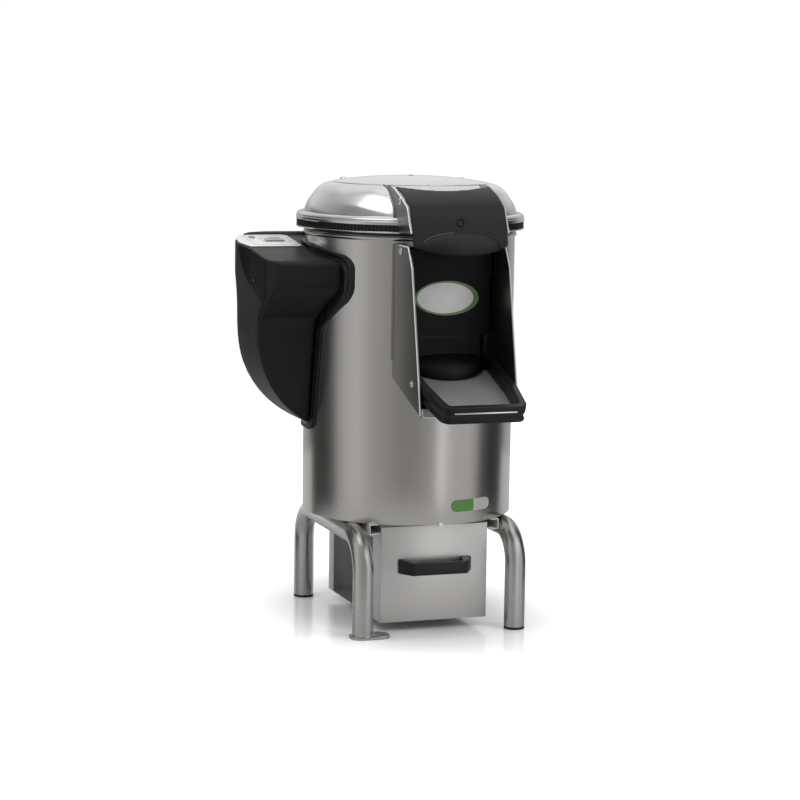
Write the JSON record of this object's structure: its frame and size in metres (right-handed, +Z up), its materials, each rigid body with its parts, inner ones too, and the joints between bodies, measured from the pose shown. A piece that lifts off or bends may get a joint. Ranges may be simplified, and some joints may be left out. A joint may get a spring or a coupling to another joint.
{
  "type": "potato peeling machine",
  "caption": "Floor-standing drum potato peeler with a hinged domed lid, a discharge chute with door and tray, a side control box, a pull-out filter drawer and bent tube legs.",
  "frame": {"origin": "on the floor, under the middle of the outline seen from above", "axes": "+Z up; the chute, the tray and the drawer's handle face -Y; the control box is on the -X side"},
  "size_m": [0.5324, 0.648, 0.8243],
  "materials": {
    "brushed_steel": "brushed stainless",
    "rubber": "matt",
    "abrasive": "coarse abrasive grit",
    "cast_iron": "cast",
    "motor_enamel": "enamel",
    "polished_steel": "polished stainless",
    "black_plastic": "fine grained black",
    "white_plastic": "smooth",
    "green_plastic": "smooth",
    "red_plastic": "smooth"
  },
  "bodies": {
    "machine": {"leg_frame_left": "brushed_steel", "foot_plug_rear_left": "rubber", "leg_frame_right": "brushed_steel", "foot_plug_front_right": "rubber", "drum_shell": "brushed_steel", "base_deck": "brushed_steel", "waste_pipe": "brushed_steel", "chamber_floor": "brushed_steel", "abrasive_lining": "abrasive", "bearing_housing": "cast_iron", "upper_bearing": "brushed_steel", "lower_bearing": "brushed_steel", "shaft_seal": "rubber", "motor_body": "motor_enamel", "motor_stand": "brushed_steel", "drive_belt": "rubber", "hinge_bracket": "brushed_steel", "lid_hinge_pin": "brushed_steel", "chute_cheek_left": "brushed_steel", "door_pivot_left": "brushed_steel", "tray_screw_left": "brushed_steel", "chute_cheek_right": "brushed_steel", "door_pivot_right": "brushed_steel", "tray_screw_right": "brushed_steel", "chute_floor": "brushed_steel", "door_frame_seal": "rubber", "tray_frame": "black_plastic", "tray_floor": "brushed_steel", "tray_strip": "polished_steel", "control_panel": "white_plastic", "control_box_cover": "black_plastic", "control_box_flange": "rubber", "switch_block": "black_plastic", "cable_gland": "rubber", "water_inlet": "polished_steel", "drawer_rail_left": "brushed_steel", "drawer_rail_right": "brushed_steel"},
    "lid": {"lid_rim": "polished_steel", "rim_gasket": "rubber", "lid_seal": "rubber", "lid_dome": "polished_steel", "lid_cap": "polished_steel", "lid_cheek_left": "brushed_steel", "lid_cheek_right": "brushed_steel", "lid_hood": "black_plastic", "lid_hinge_leaf": "brushed_steel"},
    "discharge_door": {"discharge_door": "black_plastic", "door_badge": "white_plastic"},
    "drawer": {"filter_drawer": "brushed_steel", "drawer_front": "brushed_steel", "drawer_handle": "black_plastic"},
    "start_button": {"start_button": "green_plastic"},
    "stop_button": {"stop_button": "red_plastic"},
    "timer_knob": {"timer_knob": "black_plastic"},
    "rotor": {"drive_shaft": "brushed_steel", "driven_pulley": "cast_iron", "abrasive_disc": "abrasive", "disc_nut": "brushed_steel"},
    "motor_rotor": {"motor_shaft": "brushed_steel", "motor_pulley": "cast_iron"}
  },
  "joints": [
    {"name": "lid_hinge", "type": "hinge", "parent": "machine", "child": "lid", "pos_m": [0.05419, 0.31405, 0.739], "axis": [-1, 0, 0], "range_deg": [0, 80]},
    {"name": "door_hinge", "type": "hinge", "parent": "machine", "child": "discharge_door", "pos_m": [0.05419, -0.12495, 0.698], "axis": [-1, 0, 0], "range_deg": [0, 70]},
    {"name": "drawer_slide", "type": "slide", "parent": "machine", "child": "drawer", "axis": [0, -1, 0], "range_m": [0, 0.28]},
    {"name": "start_button_press", "type": "slide", "parent": "machine", "child": "start_button", "axis": [0, 0.1159, -0.9933], "range_m": [0, 0.001], "stiffness_N_per_m": 900, "springref_m": -0.001},
    {"name": "stop_button_press", "type": "slide", "parent": "machine", "child": "stop_button", "axis": [0, 0.1159, -0.9933], "range_m": [0, 0.001], "stiffness_N_per_m": 900, "springref_m": -0.001},
    {"name": "timer_turn", "type": "hinge", "parent": "machine", "child": "timer_knob", "pos_m": [-0.22681, 0.17187, 0.70201], "axis": [0, 0.1159, -0.9933], "range_deg": [0, 270]},
    {"name": "disc_spin", "type": "hinge", "parent": "machine", "child": "rotor", "pos_m": [0.05419, 0.08605, 0.45], "axis": [0, 0, 1], "continuous": true},
    {"name": "motor_spin", "type": "hinge", "parent": "machine", "child": "motor_rotor", "pos_m": [-0.03981, 0.03605, 0.25], "axis": [0, 0, 1], "continuous": true}
  ],
  "couplings": [
    {"joint": "motor_spin", "follows": "disc_spin", "ratio": 3}
  ]
}
